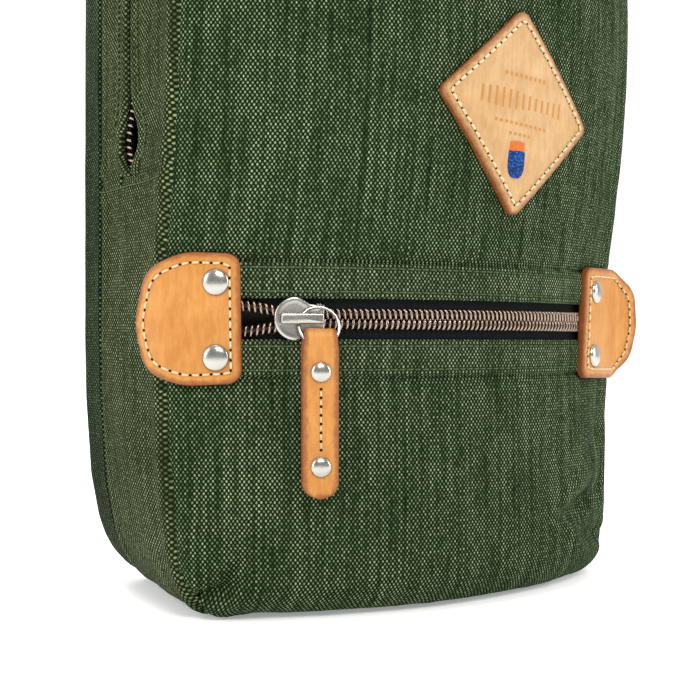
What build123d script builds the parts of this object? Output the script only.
from build123d import *
import math
import os

# Soft upright satchel. X is across, the front faces -Y, Z is up, millimetres.
# The front is a barrel turned about a vertical axis, so its zip runs on one circle.

os.makedirs("parts", exist_ok=True)

# ---- driving dimensions: the bag ----
HEIGHT = 334.0
HALF_WIDTH = 97.0
GUSSET_CORNER = 28.0
WALL = 2.0
ARC_Y = 104.0
ARC_R = 166.0
EDGE_ROLL = 15.0
POCKET_ROLL = 22.0
POCKET_DEPTH = 18.0
ZIP_Z = 100.0
FLAT_TOP_Z = 122.5
BULGE_Z = 215.4
BULGE_R = 177.0
GUSSET_BACK_Y = 27.0

# ---- back band and back panel ----
BAND_HALF_WIDTH = 99.0
BAND_CORNER = 40.0
BAND_WALL = 3.0
BAND_BACK_Y = 48.0
BACK_PANEL_Y = 52.0
FOAM_FRONT_Y = 42.0
FOAM_GAP = 0.4

# ---- front zip ----
WINDOW_HALF = 6.8
FACING_HALF = 18.8
FACING_WALL = 1.8
TAPE_IN_R = 163.5
TAPE_THICK = 0.6
TAPE_HALF = 14.0
COIL_OUT_R = 165.9
COIL_NEAR = 0.6
COIL_FAR = 3.7
ZIP_END_DEG = 33.0

# ---- front zip slider, ring and pull ----
SLIDER_DEG = -20.1
SLIDER_LENGTH = 16.8
SLIDER_WIDTH = 15.0
PLATE_LOW_R = 161.9
PLATE_HIGH_R = 166.4
PLATE_THICK = 1.0
WEB_THICK = 0.6
BAIL_GAP = 4.1
BAIL_THICK = 1.4
BAIL_WIDTH = 3.2
BAIL_FROM = -6.8
BAIL_TO = 7.4
RING_R = 6.65
RING_WIRE_R = 0.55
RING_TILT = 20.0
RING_T = 6.0
RING_DROP = 2.4
RING_N = 170.6
PULL_WIDTH = 12.0
PULL_FOLD_WIDTH = 10.8
PULL_HALF_TOP = 3.3
PULL_HALF_LOW = 2.5
PULL_SLOT_HALF = 1.5
PULL_FOLD_Z = 93.8
PULL_SLOT_LOW_Z = 91.2
PULL_STEP_Z = 88.0
PULL_END_Z = 41.0
PULL_END_ROUND = 5.0
PULL_N = 172.23
PULL_RIVET_Z = (82.5, 51.7)
PULL_RIVET_R = 3.5

# ---- leather tabs and label ----
TAB_IN_LEFT_DEG = 26.6
TAB_IN_RIGHT_DEG = 24.0
SEAM_DEG = 35.7
TAB_THICK = 3.0
TAB_HEIGHT = 43.0
LEFT_WING = 8.5
RIGHT_WING = 12.0
LEFT_WING_TURN = 12.0
RIGHT_WING_TURN = 44.0
TAB_INNER_ROUND = 4.0
TAB_OUTER_ROUND = 16.0
TAB_RIVET_LEFT_DEG = 29.6
TAB_RIVET_RIGHT_DEG = 27.2
TAB_RIVET_SPACING = 24.7
TAB_RIVET_R = 4.5
CAP_HEIGHT = 1.9
POST_R = 1.5
POST_CLEAR = 0.05
LABEL_X = 20.0
LABEL_Z = 172.0
LABEL_SIDE = 51.5
LABEL_TURN = 42.0
LABEL_THICK = 3.0
TAG_X = 18.6
TAG_Z = 155.8
TAG_WIDTH = 8.0
TAG_HEIGHT = 13.0
TAG_THICK = 1.2

# ---- main zip over the top of the gusset ----
MAIN_ZIP_Y = -2.0
MAIN_WINDOW_HALF = 7.5
MAIN_ZIP_LOW_Z = 150.0
MAIN_TAPE_HALF = 16.0
MAIN_COIL_HALF = 3.6
MAIN_SLIDER_X = 13.0
MAIN_SLIDER_LENGTH = 15.0
MAIN_SLIDER_WIDTH = 12.0

# ---- top handle and side rings ----
HANDLE_Y = 38.0
HANDLE_X = 42.0
HANDLE_AXIS_Z = 338.6
GRIP_RISE = 32.0
GRIP_R = 5.0
RING_BAR_R = 1.6
RING_SIDE_R = 1.4
SLEEVE_R = 3.6
SLEEVE_BORE_R = 1.95
SIDE_RING_Z = 288.0
SIDE_RING_X = 104.6
SIDE_RING_Y = 37.5
RING_WIDTH = 22.0
RING_POST_X = 9.4
HANDLE_RING_RISE = 14.0
LOOP_WIDTH = 14.0
LOOP_HALF_DEPTH = 3.6
FOOT_HALF_DEPTH = 9.0
FOOT_THICK = 1.5
LUG_DEPTH = 7.0
LUG_HEIGHT = 12.0
SIDE_PLATE_LOW_Z = 258.0
SIDE_PLATE_HIGH_Z = 296.0
SIDE_PLATE_THICK = 1.6
SIDE_RING_DROP = 10.0

# main sliders and their pulls
SLIDER_ROUND = 3.5
SLIDER_PLATE_GAP = 0.4
MAIN_WEB_LENGTH = 6.0
MAIN_BAIL_LENGTH = 11.4
MAIN_BAIL_POST_X = 5.0
MAIN_BAIL_RISE = 4.0
MAIN_BAIL_THICK = 1.2
LOOP_ARM = 9.5
LOOP_WIRE = 1.4
LOOP_PIN_R = 0.8
LOOP_PIN_LENGTH = 7.2
LOOP_ARM_Y = 2.9
STRIP_LENGTH = 36.0
STRIP_WIDTH = 9.0
STRIP_THICK = 2.8
STRIP_ROUND = 4.0

# end tabs, inner pocket and base board
END_TAB_THICK = 2.2
END_TAB_Y = (6.0, 24.0)
END_TAB_Z = (147.0, 167.0)
SLIP_HALF_WIDTH = 70.0
SLIP_FRONT_Y = 36.0
SLIP_LOW_Z = 40.0
SLIP_HIGH_Z = 190.0
SLIP_WALL = 1.2
BOARD_HALF_WIDTH = 52.0
BOARD_FRONT_Y = -20.0
BOARD_LOW_Z = 3.2
BOARD_THICK = 2.0

RADIAL_AXIS = Axis((0, ARC_Y, 0), (0, 0, 1))
FAR = 400.0


def save(shape, name):
    with BuildPart() as piece:
        add(shape)
    piece.part.label = name
    export_step(piece.part, f"parts/{name}.step")


def block(x_low, x_high, y_low, y_high, z_low, z_high):
    with BuildPart() as made:
        with Locations(((x_low + x_high) / 2, (y_low + y_high) / 2, (z_low + z_high) / 2)):
            Box(x_high - x_low, y_high - y_low, z_high - z_low)
    return made.part


def rounded_slab(half_width, z_low, z_high, radius, y_front, y_back):
    with BuildPart() as made:
        with BuildSketch(Plane.XZ.offset(-y_back)):
            with Locations((0, (z_low + z_high) / 2)):
                RectangleRounded(2 * half_width, z_high - z_low, radius)
        extrude(amount=y_back - y_front)
    return made.part


def gusset_slab(inset, y_front, y_back):
    return rounded_slab(HALF_WIDTH - inset, inset, HEIGHT - inset, GUSSET_CORNER - inset, y_front, y_back)


def band_slab(inset, y_front, y_back):
    return rounded_slab(
        BAND_HALF_WIDTH - inset, inset, HEIGHT - inset, BAND_CORNER - inset, y_front, y_back
    )


def barrel(inset, roll=EDGE_ROLL):
    # the turned solid behind the front face, taken in by `inset` all over
    low_z = roll
    high_z = HEIGHT - roll
    roll_r = ARC_R - roll
    corner = (roll - inset) * math.sqrt(0.5)
    with BuildPart() as made:
        with BuildSketch(Plane.XZ.offset(-ARC_Y)):
            with BuildLine():
                Line((0, inset), (roll_r, inset))
                ThreePointArc(
                    (roll_r, inset),
                    (roll_r + corner, low_z - corner),
                    (ARC_R - inset, low_z),
                )
                Line((ARC_R - inset, low_z), (ARC_R - inset, FLAT_TOP_Z))
                ThreePointArc(
                    (ARC_R - inset, FLAT_TOP_Z),
                    (BULGE_R - inset, BULGE_Z),
                    (ARC_R - inset, high_z),
                )
                ThreePointArc(
                    (ARC_R - inset, high_z),
                    (roll_r + corner, high_z + corner),
                    (roll_r, HEIGHT - inset),
                )
                Line((roll_r, HEIGHT - inset), (0, HEIGHT - inset))
                Line((0, HEIGHT - inset), (0, inset))
            make_face()
        revolve(axis=RADIAL_AXIS, revolution_arc=360)
    return made.part


def sector(start, end, r_in, r_out, z_low, z_high):
    # a curved strip of the front between two angles from straight ahead
    turn = math.radians(start)
    flat = Plane(
        origin=(0, ARC_Y, 0),
        x_dir=(math.sin(turn), -math.cos(turn), 0),
        z_dir=(-math.cos(turn), -math.sin(turn), 0),
    )
    with BuildPart() as made:
        with BuildSketch(flat):
            with Locations(((r_in + r_out) / 2, (z_low + z_high) / 2)):
                Rectangle(r_out - r_in, z_high - z_low)
        revolve(axis=RADIAL_AXIS, revolution_arc=end - start)
    return made.part


def front_plane(angle, r, z):
    # local x runs along the zip, local y is up, the normal points out of the front
    turn = math.radians(angle)
    return Plane(
        origin=(r * math.sin(turn), ARC_Y - r * math.cos(turn), z),
        x_dir=(math.cos(turn), math.sin(turn), 0),
        z_dir=(math.sin(turn), -math.cos(turn), 0),
    )


def side_plane(angle, along):
    # local x points out of the front, local y is up, placed `along` the zip's tangent
    turn = math.radians(angle)
    return Plane(
        origin=(along * math.cos(turn), ARC_Y + along * math.sin(turn), 0),
        x_dir=(math.sin(turn), -math.cos(turn), 0),
        z_dir=(-math.cos(turn), -math.sin(turn), 0),
    )


def disc(plane, radius, depth):
    with BuildPart() as made:
        with BuildSketch(plane):
            Circle(radius)
        extrude(amount=depth)
    return made.part


def rivet_cap(plane, radius, height):
    with BuildPart() as made:
        with BuildSketch(plane):
            Circle(radius)
        extrude(amount=height)
        fillet(made.edges().filter_by(GeomType.CIRCLE).sort_by_distance(plane.origin)[-1], height * 0.8)
    return made.part


# ---- front shell, in strips round the zip ----
outline = gusset_slab(0, -95, GUSSET_BACK_Y)
outer_barrel = barrel(0)
behind_front = barrel(WALL) + disc(Plane((0, ARC_Y, 0)), ARC_R - EDGE_ROLL, HEIGHT)
front_shell = outline & (outer_barrel - behind_front)
above_facing = block(-FAR, FAR, -FAR, FAR, ZIP_Z + FACING_HALF, FAR)
below_facing = block(-FAR, FAR, -FAR, FAR, -FAR, ZIP_Z - FACING_HALF)
save(front_shell & above_facing, "front_panel_upper")
save(front_shell & below_facing, "front_panel_lower")

upper_facing = sector(
    -40, 40, ARC_R - FACING_WALL, ARC_R, ZIP_Z + WINDOW_HALF, ZIP_Z + FACING_HALF
)
lower_facing = sector(
    -40, 40, ARC_R - FACING_WALL, ARC_R, ZIP_Z - FACING_HALF, ZIP_Z - WINDOW_HALF
)
facing_trim = gusset_slab(0, -95, 20)
save(upper_facing & facing_trim, "zip_facing_upper")
save(lower_facing & facing_trim, "zip_facing_lower")

# each row of coil opens away from its neighbour in three steps left of the slider
coil_steps = (
    (-ZIP_END_DEG, -25.2, COIL_NEAR + 1.6, COIL_FAR + 1.8),
    (-25.2, -22.9, COIL_NEAR + 0.8, COIL_FAR + 0.9),
    (-22.9, ZIP_END_DEG, COIL_NEAR, COIL_FAR),
)
for side, name in ((1, "upper"), (-1, "lower")):
    coil = Part()
    tape = Part()
    for start, end, near, far in coil_steps:
        coil_low = min(ZIP_Z + side * near, ZIP_Z + side * far)
        coil_high = max(ZIP_Z + side * near, ZIP_Z + side * far)
        coil = coil + sector(start, end, TAPE_IN_R, COIL_OUT_R, coil_low, coil_high)
        tape_low = min(ZIP_Z + side * far, ZIP_Z + side * TAPE_HALF)
        tape_high = max(ZIP_Z + side * far, ZIP_Z + side * TAPE_HALF)
        tape = tape + sector(start, end, TAPE_IN_R, TAPE_IN_R + TAPE_THICK, tape_low, tape_high)
    save(coil, f"front_zip_coil_{name}")
    save(tape, f"front_zip_tape_{name}")

# ---- front zip slider: two plates, a web between the rows and a bail ----
plate_top_r = PLATE_HIGH_R + PLATE_THICK
with BuildPart() as slider:
    with BuildSketch(front_plane(SLIDER_DEG, PLATE_HIGH_R, ZIP_Z)):
        with Locations((-2.4, 0)):
            RectangleRounded(SLIDER_LENGTH - 4.8, SLIDER_WIDTH, 5.5)
        with Locations((3.9, 0)):
            Rectangle(9.0, 7.0)
    extrude(amount=PLATE_THICK)
    with BuildSketch(front_plane(SLIDER_DEG, PLATE_LOW_R, ZIP_Z)):
        RectangleRounded(SLIDER_LENGTH - 2.0, SLIDER_WIDTH - 3.0, 3.0)
    extrude(amount=PLATE_THICK)
    with BuildSketch(front_plane(SLIDER_DEG, PLATE_LOW_R, ZIP_Z)):
        with Locations((-2.0, 0)):
            Rectangle(6.0, WEB_THICK)
    extrude(amount=PLATE_HIGH_R - PLATE_LOW_R + PLATE_THICK / 2)
    with BuildSketch(front_plane(SLIDER_DEG, plate_top_r + BAIL_GAP, ZIP_Z)):
        with Locations(((BAIL_FROM + BAIL_TO) / 2, 0)):
            Rectangle(BAIL_TO - BAIL_FROM, BAIL_WIDTH)
    extrude(amount=BAIL_THICK)
    with BuildSketch(front_plane(SLIDER_DEG, PLATE_HIGH_R, ZIP_Z)):
        with Locations((BAIL_FROM + 0.7, 0), (BAIL_TO - 0.7, 0)):
            Rectangle(1.4, BAIL_WIDTH)
    extrude(amount=PLATE_THICK + BAIL_GAP + BAIL_THICK)
save(slider.part, "front_zip_slider")

# ---- ring under the bail, leaning forward at the bottom ----
slider_turn = math.radians(SLIDER_DEG)
lean = math.radians(RING_TILT)
tangent = Vector(math.cos(slider_turn), math.sin(slider_turn), 0)
outward = Vector(math.sin(slider_turn), -math.cos(slider_turn), 0)
ring_centre = Vector(0, ARC_Y, ZIP_Z - RING_DROP) + outward * RING_N + tangent * RING_T
ring_down = outward * math.sin(lean) - Vector(0, 0, 1) * math.cos(lean)
ring_plane = Plane(origin=ring_centre, x_dir=tangent, z_dir=tangent.cross(ring_down))
with BuildPart() as ring:
    with BuildSketch(Plane(origin=ring_centre, x_dir=tangent, z_dir=ring_down)):
        with Locations((RING_R, 0)):
            Circle(RING_WIRE_R)
    revolve(axis=Axis(ring_centre, ring_plane.z_dir), revolution_arc=360)
save(ring.part, "zip_pull_ring")

# ---- leather pull folded over the ring, with its two rivets ----
with BuildPart() as pull:
    with BuildSketch(side_plane(SLIDER_DEG, RING_T + PULL_FOLD_WIDTH / 2)):
        with Locations((PULL_N, PULL_FOLD_Z)):
            Circle(PULL_HALF_TOP)
        with Locations((PULL_N, (PULL_FOLD_Z + PULL_STEP_Z) / 2)):
            Rectangle(2 * PULL_HALF_TOP, PULL_FOLD_Z - PULL_STEP_Z)
        with Locations((PULL_N, PULL_FOLD_Z)):
            Circle(PULL_SLOT_HALF, mode=Mode.SUBTRACT)
        with Locations((PULL_N, (PULL_FOLD_Z + PULL_SLOT_LOW_Z) / 2)):
            Rectangle(2 * PULL_SLOT_HALF, PULL_FOLD_Z - PULL_SLOT_LOW_Z, mode=Mode.SUBTRACT)
        with Locations((PULL_N, PULL_SLOT_LOW_Z)):
            Circle(PULL_SLOT_HALF, mode=Mode.SUBTRACT)
    extrude(amount=PULL_FOLD_WIDTH)
    with BuildSketch(side_plane(SLIDER_DEG, RING_T + PULL_WIDTH / 2)):
        with Locations((PULL_N, (PULL_STEP_Z + PULL_END_Z) / 2)):
            Rectangle(2 * PULL_HALF_LOW, PULL_STEP_Z - PULL_END_Z)
    extrude(amount=PULL_WIDTH)
    lowest = pull.edges().group_by(Axis.Z)[0]
    fillet(lowest.filter_by(lambda edge: edge.length < PULL_WIDTH - 1), PULL_END_ROUND)
pull_back_n = PULL_N - PULL_HALF_LOW
pull_body = pull.part
pull_caps = Part()
for z in PULL_RIVET_Z:
    front = front_plane(SLIDER_DEG, pull_back_n - 0.5, z)
    middle = Plane(
        origin=front.origin + tangent * RING_T, x_dir=front.x_dir, z_dir=front.z_dir
    )
    pull_body = pull_body - disc(middle, POST_R + POST_CLEAR, 2 * PULL_HALF_TOP + 2)
    outer = Plane(
        origin=middle.origin + outward * (2 * PULL_HALF_LOW + 0.5),
        x_dir=front.x_dir,
        z_dir=front.z_dir,
    )
    pull_caps = pull_caps + rivet_cap(outer, PULL_RIVET_R, CAP_HEIGHT)
    pull_caps = pull_caps + disc(middle, POST_R, 2 * PULL_HALF_LOW + 0.6)
    pull_caps = pull_caps + disc(
        Plane(origin=middle.origin - outward * 0.4, x_dir=front.x_dir, z_dir=front.z_dir),
        PULL_RIVET_R - 0.5,
        0.9,
    )
save(pull_body, "pull_leather")
save(pull_caps, "pull_rivets")

# ---- leather tabs over the two ends of the front zip ----
for side, name in ((-1, "left"), (1, "right")):
    inner_deg = TAB_IN_RIGHT_DEG if side > 0 else TAB_IN_LEFT_DEG
    wing_reach = RIGHT_WING if side > 0 else LEFT_WING
    start = inner_deg if side > 0 else -SEAM_DEG
    end = SEAM_DEG if side > 0 else -inner_deg
    low_z = ZIP_Z - TAB_HEIGHT / 2
    high_z = ZIP_Z + TAB_HEIGHT / 2
    flap = sector(start, end, ARC_R, ARC_R + TAB_THICK, low_z, high_z)
    seam = math.radians(side * SEAM_DEG)
    bend = math.radians(-SEAM_DEG - LEFT_WING_TURN if side < 0 else SEAM_DEG - RIGHT_WING_TURN)
    seam_in = (ARC_R * math.sin(seam), ARC_Y - ARC_R * math.cos(seam))
    seam_out = (
        (ARC_R + TAB_THICK) * math.sin(seam),
        ARC_Y - (ARC_R + TAB_THICK) * math.cos(seam),
    )
    reach = (side * wing_reach * math.cos(bend), side * wing_reach * math.sin(bend))
    drop = (math.sin(bend) * TAB_THICK, -math.cos(bend) * TAB_THICK)
    tip_in = (seam_in[0] + reach[0], seam_in[1] + reach[1])
    tip_out = (tip_in[0] + drop[0], tip_in[1] + drop[1])
    with BuildPart() as wing:
        with BuildSketch(Plane.XY.offset(low_z)):
            with BuildLine():
                Polyline(seam_in, tip_in, tip_out, seam_out, seam_in)
            make_face()
        extrude(amount=TAB_HEIGHT)
    inner_x = ARC_R * math.sin(math.radians(inner_deg))
    outer_x = max(abs(tip_in[0]), abs(tip_out[0]))
    with BuildPart() as shape:
        with BuildSketch(Plane.XZ.offset(FAR)):
            with BuildLine():
                Polyline(
                    (side * inner_x, low_z),
                    (side * outer_x, low_z),
                    (side * outer_x, high_z),
                    (side * inner_x, high_z),
                    (side * inner_x, low_z),
                )
            make_face()
        extrude(amount=-2 * FAR)
        uprights = shape.edges().filter_by(Axis.Y)
        fillet(uprights.sort_by(Axis.X)[:2], TAB_INNER_ROUND if side > 0 else TAB_OUTER_ROUND)
        uprights = shape.edges().filter_by(Axis.Y)
        fillet(uprights.sort_by(Axis.X)[-2:], TAB_OUTER_ROUND if side > 0 else TAB_INNER_ROUND)
    tab = (flap + wing.part) & shape.part
    rivets = Part()
    for level in (-0.5, 0.5):
        z = ZIP_Z - 0.5 + level * TAB_RIVET_SPACING
        angle = side * (TAB_RIVET_RIGHT_DEG if side > 0 else TAB_RIVET_LEFT_DEG)
        tab = tab - disc(front_plane(angle, ARC_R - 1, z), POST_R + POST_CLEAR, TAB_THICK + 2)
        rivets = rivets + disc(front_plane(angle, ARC_R + 0.1, z), POST_R, TAB_THICK)
        rivets = rivets + rivet_cap(
            front_plane(angle, ARC_R + TAB_THICK + 0.02, z), TAB_RIVET_R, CAP_HEIGHT
        )
    save(tab, f"leather_tab_{name}")
    save(rivets, f"tab_rivets_{name}")

# ---- diamond label with a small woven tag ----
with BuildPart() as diamond:
    with BuildSketch(Plane.XZ.offset(FAR)):
        with Locations((LABEL_X, LABEL_Z)):
            RectangleRounded(LABEL_SIDE, LABEL_SIDE, 4.0, rotation=LABEL_TURN)
    extrude(amount=-FAR)
raised = barrel(-LABEL_THICK) - outer_barrel
save(diamond.part & raised, "label_diamond")
with BuildPart() as tag_shape:
    with BuildSketch(Plane.XZ.offset(FAR)):
        with Locations((TAG_X, TAG_Z)):
            Rectangle(TAG_WIDTH, TAG_HEIGHT)
    extrude(amount=-FAR)
tag_layer = barrel(-LABEL_THICK - TAG_THICK) - barrel(-LABEL_THICK)
save(tag_shape.part & tag_layer, "label_tag")

# ---- gusset: one wall below the main zip, two strips beside it above ----
gusset_tube = gusset_slab(0, -95, GUSSET_BACK_Y) - gusset_slab(WALL, -96, GUSSET_BACK_Y + 1)
gusset_wall = gusset_tube & behind_front
below_main = block(-FAR, FAR, -FAR, FAR, -FAR, MAIN_ZIP_LOW_Z)
above_main = block(-FAR, FAR, -FAR, FAR, MAIN_ZIP_LOW_Z, FAR)
front_side = block(-FAR, FAR, -FAR, MAIN_ZIP_Y - MAIN_WINDOW_HALF, -FAR, FAR)
rear_side = block(-FAR, FAR, MAIN_ZIP_Y + MAIN_WINDOW_HALF, FAR, -FAR, FAR)
save(gusset_wall & below_main, "gusset_lower")
save(gusset_wall & above_main & front_side, "gusset_strip_front")
save(gusset_wall & above_main & rear_side, "gusset_strip_rear")

# ---- main zip: tapes, two rows of coil ----
for side, name in ((-1, "front"), (1, "rear")):
    tape_edges = (MAIN_ZIP_Y + side * MAIN_COIL_HALF, MAIN_ZIP_Y + side * MAIN_TAPE_HALF)
    coil_edges = (MAIN_ZIP_Y + side * COIL_NEAR, MAIN_ZIP_Y + side * MAIN_COIL_HALF)
    tape_ring = gusset_slab(WALL, min(tape_edges), max(tape_edges)) - gusset_slab(
        WALL + TAPE_THICK, -95, 40
    )
    coil_ring = gusset_slab(1.6, min(coil_edges), max(coil_edges)) - gusset_slab(3.8, -95, 40)
    save(tape_ring & above_main, f"main_zip_tape_{name}")
    save(coil_ring & above_main, f"main_zip_coil_{name}")

# ---- two main sliders that meet at the top, each with a leather pull ----
coil_top_z = HEIGHT - 1.6
bail_low_z = coil_top_z + SLIDER_PLATE_GAP + PLATE_THICK + MAIN_BAIL_RISE - MAIN_BAIL_THICK
coil_low_z = HEIGHT - 3.8
for side, name in ((-1, "left"), (1, "right")):
    x = side * MAIN_SLIDER_X
    half = MAIN_SLIDER_LENGTH / 2
    with BuildPart() as main_slider:
        with BuildSketch(Plane.XY.offset(coil_top_z + SLIDER_PLATE_GAP)):
            with Locations((x, MAIN_ZIP_Y)):
                RectangleRounded(MAIN_SLIDER_LENGTH, MAIN_SLIDER_WIDTH, SLIDER_ROUND)
        extrude(amount=PLATE_THICK)
        with BuildSketch(Plane.XY.offset(coil_low_z - SLIDER_PLATE_GAP)):
            with Locations((x, MAIN_ZIP_Y)):
                RectangleRounded(MAIN_SLIDER_LENGTH, MAIN_SLIDER_WIDTH, SLIDER_ROUND)
        extrude(amount=-PLATE_THICK)
        with BuildSketch(Plane.XY.offset(coil_low_z - 2 * SLIDER_PLATE_GAP)):
            with Locations((x, MAIN_ZIP_Y)):
                Rectangle(MAIN_WEB_LENGTH, WEB_THICK)
        extrude(amount=coil_top_z - coil_low_z + 4 * SLIDER_PLATE_GAP)
        with BuildSketch(Plane.XY.offset(coil_top_z + SLIDER_PLATE_GAP)):
            with Locations((x - MAIN_BAIL_POST_X, MAIN_ZIP_Y), (x + MAIN_BAIL_POST_X, MAIN_ZIP_Y)):
                Rectangle(BAIL_THICK, BAIL_WIDTH)
        extrude(amount=PLATE_THICK + MAIN_BAIL_RISE)
        with BuildSketch(Plane.XY.offset(bail_low_z)):
            with Locations((x, MAIN_ZIP_Y)):
                Rectangle(MAIN_BAIL_LENGTH, BAIL_WIDTH)
        extrude(amount=MAIN_BAIL_THICK)
    save(main_slider.part, f"main_slider_{name}")
    pivot_z = coil_top_z + SLIDER_PLATE_GAP + PLATE_THICK + LOOP_WIRE
    arm_from = x
    arm_to = x + side * LOOP_ARM
    with BuildPart() as loop:
        with Locations(Location((x, MAIN_ZIP_Y, pivot_z), (90, 0, 0))):
            Cylinder(LOOP_PIN_R, LOOP_PIN_LENGTH)
        for offset in (-LOOP_ARM_Y, LOOP_ARM_Y):
            with Locations(((arm_from + arm_to) / 2, MAIN_ZIP_Y + offset, pivot_z)):
                Box(abs(arm_to - arm_from), LOOP_WIRE, LOOP_WIRE)
        with Locations((arm_to, MAIN_ZIP_Y, pivot_z)):
            Box(2 * LOOP_PIN_R, LOOP_PIN_LENGTH, LOOP_WIRE)
    save(loop.part, f"main_pull_loop_{name}")
    leather_from = arm_to + side * LOOP_PIN_R
    leather_to = leather_from + side * STRIP_LENGTH
    with BuildPart() as strip:
        with Locations(((leather_from + leather_to) / 2, MAIN_ZIP_Y, pivot_z + 0.3)):
            Box(STRIP_LENGTH, STRIP_WIDTH, STRIP_THICK)
        tips = strip.edges().filter_by(Axis.Z).sort_by(Axis.X)
        fillet(tips[:2] if side < 0 else tips[-2:], STRIP_ROUND)
    save(strip.part, f"main_pull_leather_{name}")

# ---- folded fabric tabs closing the lower ends of the main zip ----
for side, name in ((-1, "left"), (1, "right")):
    near = side * HALF_WIDTH
    far = side * (HALF_WIDTH + END_TAB_THICK)
    end_tab = block(min(near, far), max(near, far), *END_TAB_Y, *END_TAB_Z)
    save(end_tab, f"zip_end_tab_{name}")

# ---- back band, back panel and padding ----
band_ring = band_slab(0, GUSSET_BACK_Y, BAND_BACK_Y) - band_slab(BAND_WALL, GUSSET_BACK_Y - 1, 60)
save(band_ring, "back_band")
save(band_slab(0, BAND_BACK_Y, BACK_PANEL_Y), "back_panel")
save(band_slab(BAND_WALL + FOAM_GAP, FOAM_FRONT_Y, BAND_BACK_Y), "back_foam")

# ---- inside: pocket wall, slip pocket, lining and base board ----
pocket_wall = barrel(POCKET_DEPTH, POCKET_ROLL) - barrel(POCKET_DEPTH + 1.2, POCKET_ROLL)
pocket_wall = pocket_wall & gusset_slab(WALL + 2.2, -95, 20)
pocket_span = block(-FAR, FAR, -FAR, FAR, POCKET_ROLL, HEIGHT - POCKET_ROLL)
save(pocket_wall & pocket_span, "pocket_divider")
lining = (gusset_slab(WALL, -20, 26) - gusset_slab(WALL + 0.8, -21, 27)) & below_main
save(lining & block(-FAR, FAR, -FAR, FAR, -FAR, MAIN_ZIP_LOW_Z - 2), "gusset_lining")
slip_in = SLIP_HALF_WIDTH - SLIP_WALL
slip_outer = block(
    -SLIP_HALF_WIDTH, SLIP_HALF_WIDTH, SLIP_FRONT_Y, FOAM_FRONT_Y, SLIP_LOW_Z, SLIP_HIGH_Z
)
slip_inner = block(
    -slip_in, slip_in, SLIP_FRONT_Y + SLIP_WALL, FOAM_FRONT_Y + 1, SLIP_LOW_Z + SLIP_WALL, FAR
)
save(slip_outer - slip_inner, "slip_pocket")
board_top_z = BOARD_LOW_Z + BOARD_THICK
board = block(
    -BOARD_HALF_WIDTH, BOARD_HALF_WIDTH, BOARD_FRONT_Y, FOAM_FRONT_Y - 0.5, BOARD_LOW_Z, board_top_z
)
save(board, "base_board")

# ---- rolled top handle on two rectangular rings held by leather loops ----
anchors = Part()
handle_rings = Part()
for side in (-1, 1):
    x = side * HANDLE_X
    sleeve_plane = Plane(
        origin=(x - LOOP_WIDTH / 2, HANDLE_Y, HANDLE_AXIS_Z), x_dir=(0, 1, 0), z_dir=(1, 0, 0)
    )
    low_x = x - LOOP_WIDTH / 2
    high_x = x + LOOP_WIDTH / 2
    loop_low_y = HANDLE_Y - LOOP_HALF_DEPTH
    loop_high_y = HANDLE_Y + LOOP_HALF_DEPTH
    loop_body = disc(sleeve_plane, SLEEVE_R, LOOP_WIDTH) + block(
        low_x, high_x, loop_low_y, loop_high_y, HEIGHT, HANDLE_AXIS_Z
    )
    foot_low_y = HANDLE_Y - FOOT_HALF_DEPTH
    foot_high_y = HANDLE_Y + FOOT_HALF_DEPTH
    foot = block(low_x, high_x, foot_low_y, foot_high_y, HEIGHT, HEIGHT + FOOT_THICK)
    anchors = anchors + ((loop_body + foot) - disc(sleeve_plane, SLEEVE_BORE_R, LOOP_WIDTH))
    frame_top = HANDLE_AXIS_Z + HANDLE_RING_RISE
    with BuildPart() as frame:
        for z in (HANDLE_AXIS_Z, frame_top):
            with Locations(Location((x, HANDLE_Y, z), (0, 90, 0))):
                Cylinder(RING_BAR_R, RING_WIDTH)
        for end in (-RING_POST_X, RING_POST_X):
            with Locations((x + end, HANDLE_Y, (HANDLE_AXIS_Z + frame_top) / 2)):
                Cylinder(RING_SIDE_R, HANDLE_RING_RISE)
    handle_rings = handle_rings + frame.part
save(anchors, "handle_anchors")
save(handle_rings, "handle_rings")

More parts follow.
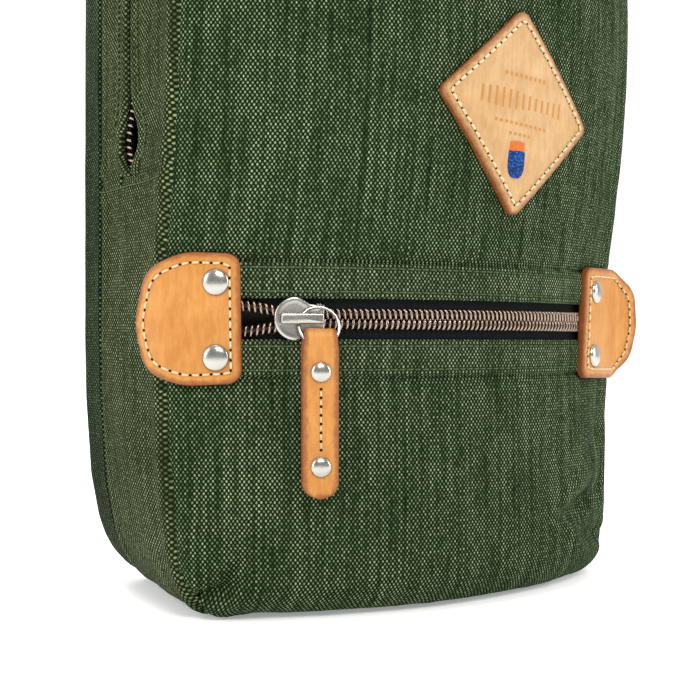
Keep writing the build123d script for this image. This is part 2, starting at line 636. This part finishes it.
grip_low_z = HANDLE_AXIS_Z + HANDLE_RING_RISE + 6.0
with BuildPart() as grip:
    with BuildLine() as arch:
        ThreePointArc(
            (-HANDLE_X, HANDLE_Y, grip_low_z),
            (0, HANDLE_Y, grip_low_z + GRIP_RISE),
            (HANDLE_X, HANDLE_Y, grip_low_z),
        )
    with BuildSketch(Plane(origin=arch.line @ 0, z_dir=arch.line % 0)):
        Circle(GRIP_R)
    sweep()
    for side in (-1, 1):
        with Locations((side * HANDLE_X, HANDLE_Y, HANDLE_AXIS_Z + HANDLE_RING_RISE + 2.0)):
            Box(LOOP_WIDTH, LUG_DEPTH, LUG_HEIGHT)
        with Locations(Location((side * HANDLE_X, HANDLE_Y, HANDLE_AXIS_Z + HANDLE_RING_RISE), (0, 90, 0))):
            Cylinder(RING_BAR_R, LOOP_WIDTH + 1.0, mode=Mode.SUBTRACT)
save(grip.part, "top_handle")

# ---- side rings for a strap, each in a leather loop on the back band ----
for side, name in ((-1, "left"), (1, "right")):
    x = side * SIDE_RING_X
    edges = (side * BAND_HALF_WIDTH, side * (BAND_HALF_WIDTH + SIDE_PLATE_THICK))
    plate_low_y = SIDE_RING_Y - FOOT_HALF_DEPTH
    plate_high_y = SIDE_RING_Y + FOOT_HALF_DEPTH
    plate = block(
        min(edges), max(edges), plate_low_y, plate_high_y, SIDE_PLATE_LOW_Z, SIDE_PLATE_HIGH_Z
    )
    neck = (side * BAND_HALF_WIDTH, x)
    bridge = block(
        min(neck),
        max(neck),
        SIDE_RING_Y - LOOP_WIDTH / 2,
        SIDE_RING_Y + LOOP_WIDTH / 2,
        SIDE_RING_Z - SLEEVE_R,
        SIDE_RING_Z + SLEEVE_R,
    )
    sleeve_plane = Plane(
        origin=(x, SIDE_RING_Y - LOOP_WIDTH / 2, SIDE_RING_Z), x_dir=(1, 0, 0), z_dir=(0, 1, 0)
    )
    loop_body = plate + bridge + disc(sleeve_plane, SLEEVE_R, LOOP_WIDTH)
    save(loop_body - disc(sleeve_plane, SLEEVE_BORE_R, LOOP_WIDTH), f"ring_anchor_{name}")
    with BuildPart() as side_ring:
        with Locations(Location((x, SIDE_RING_Y, SIDE_RING_Z), (90, 0, 0))):
            Cylinder(RING_BAR_R, RING_WIDTH)
        for end in (-RING_POST_X, RING_POST_X):
            with Locations((x, SIDE_RING_Y + end, SIDE_RING_Z - SIDE_RING_DROP / 2)):
                Cylinder(RING_SIDE_R, SIDE_RING_DROP)
        lower_z = SIDE_RING_Z - SIDE_RING_DROP
        with BuildSketch(Plane(origin=(x, SIDE_RING_Y - RING_POST_X, lower_z), z_dir=(0, 0, -1))):
            Circle(RING_SIDE_R)
        revolve(
            axis=Axis((x, SIDE_RING_Y, lower_z), (1, 0, 0)),
            revolution_arc=180,
        )
    save(side_ring.part, f"side_ring_{name}")
